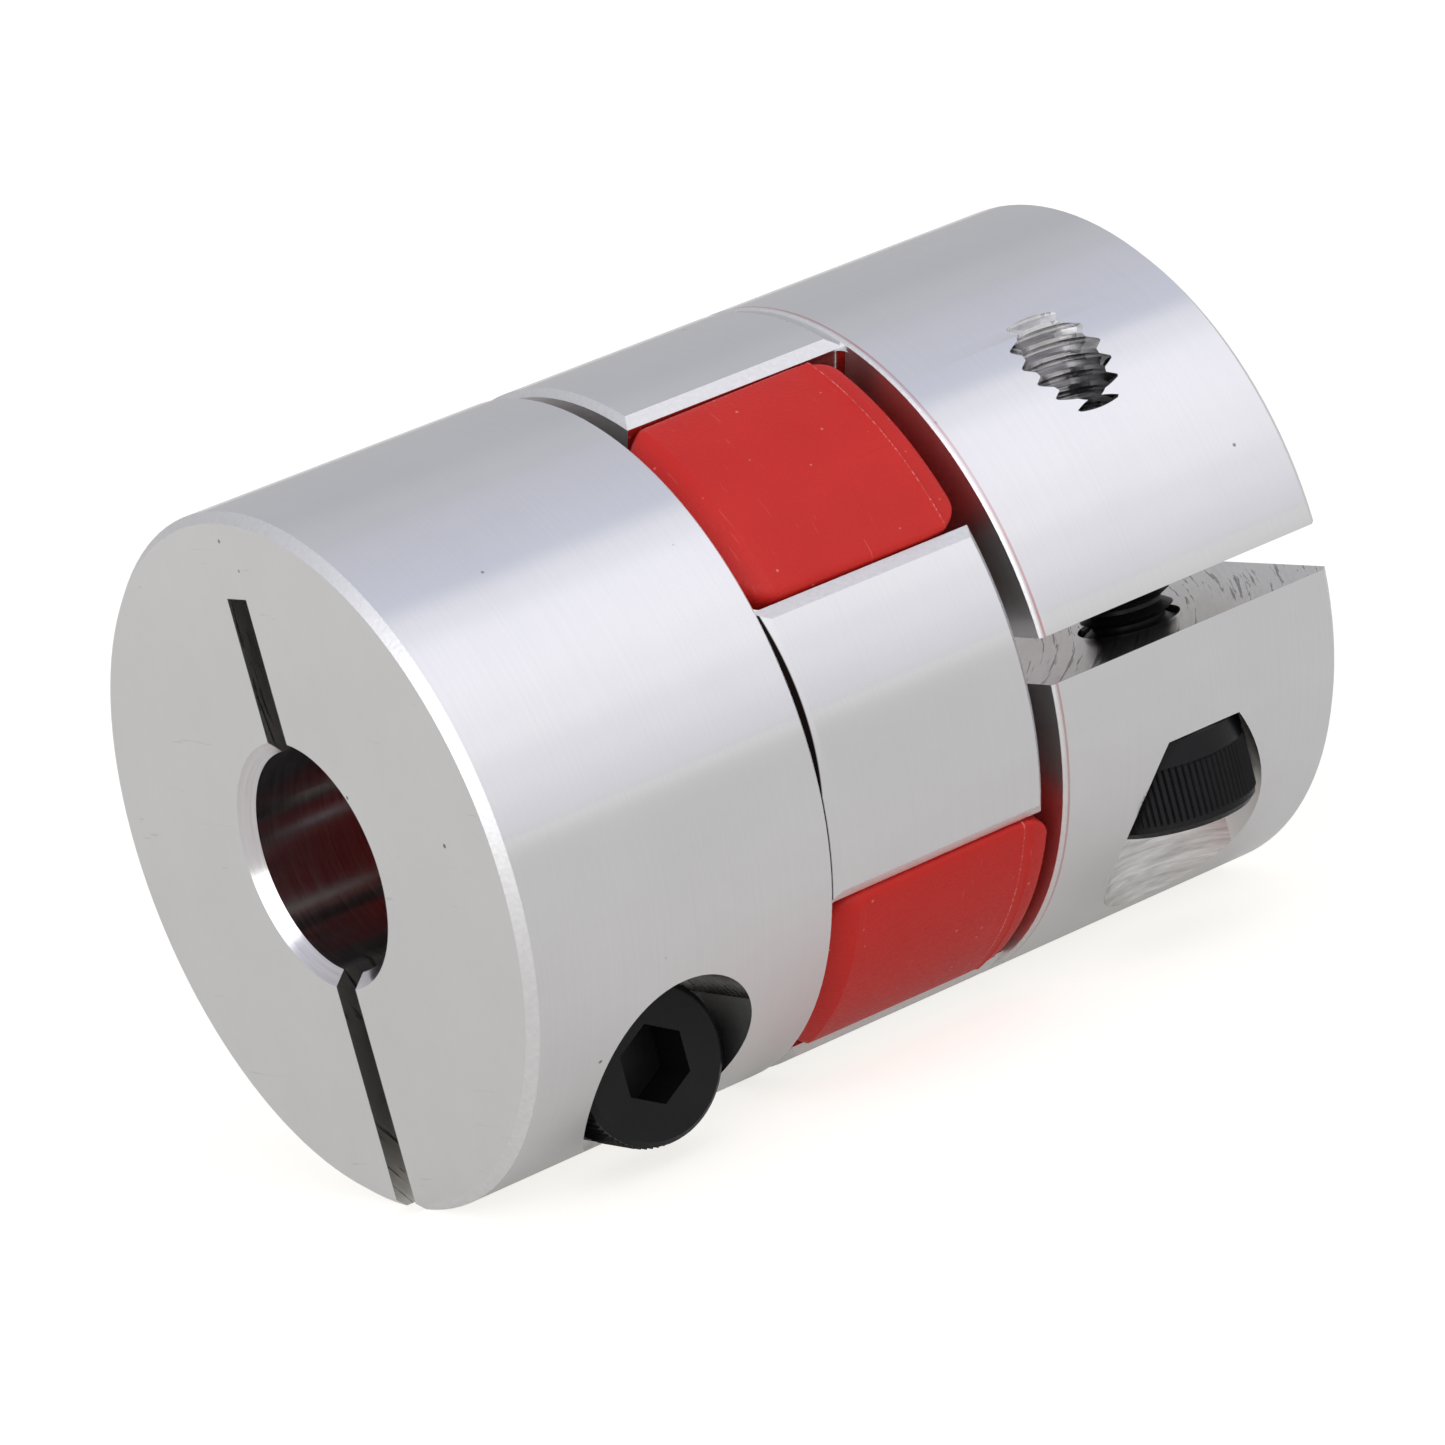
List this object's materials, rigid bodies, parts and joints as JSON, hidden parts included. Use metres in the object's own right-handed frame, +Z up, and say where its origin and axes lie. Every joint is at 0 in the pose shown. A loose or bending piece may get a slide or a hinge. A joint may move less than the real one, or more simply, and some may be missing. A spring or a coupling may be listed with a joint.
{
  "type": "jaw coupling",
  "caption": "Flexible shaft coupling: two slit clamp hubs with interlocking jaws, an elastomer spider between them and a cap screw closing each hub.",
  "frame": {"origin": "on the shaft axis, midway between the end faces of the two hubs", "axes": "+X along the shaft axis from the left hub to the right hub; +Z up; the left hub is slit open towards -Z and the right hub towards -Y"},
  "size_m": [0.042, 0.03, 0.03],
  "materials": {
    "hub_aluminium": "fine turned, satin bright",
    "spider_polyurethane": "satin moulded red polyurethane",
    "screw_black_oxide": "black oxide steel, lightly oiled"
  },
  "bodies": {
    "left_hub": {"left_hub": "hub_aluminium"},
    "spider": {"spider": "spider_polyurethane"},
    "right_hub": {"right_hub": "hub_aluminium"},
    "left_screw": {"left_clamp_screw": "screw_black_oxide"},
    "right_screw": {"right_clamp_screw": "screw_black_oxide"}
  },
  "joints": [
    {"name": "spider_pull", "type": "slide", "parent": "left_hub", "child": "spider", "axis": [1, 0, 0], "range_m": [0, 0.013]},
    {"name": "right_hub_pull", "type": "slide", "parent": "spider", "child": "right_hub", "axis": [1, 0, 0], "range_m": [0, 0.013]},
    {"name": "left_screw_turn", "type": "hinge", "parent": "left_hub", "child": "left_screw", "pos_m": [-0.0135, -0.0055, -0.01055], "axis": [0, -1, 0], "range_deg": [0, 2930]},
    {"name": "right_screw_turn", "type": "hinge", "parent": "right_hub", "child": "right_screw", "pos_m": [0.0135, -0.01055, -0.0055], "axis": [0, 0, -1], "range_deg": [0, 2930]}
  ]
}
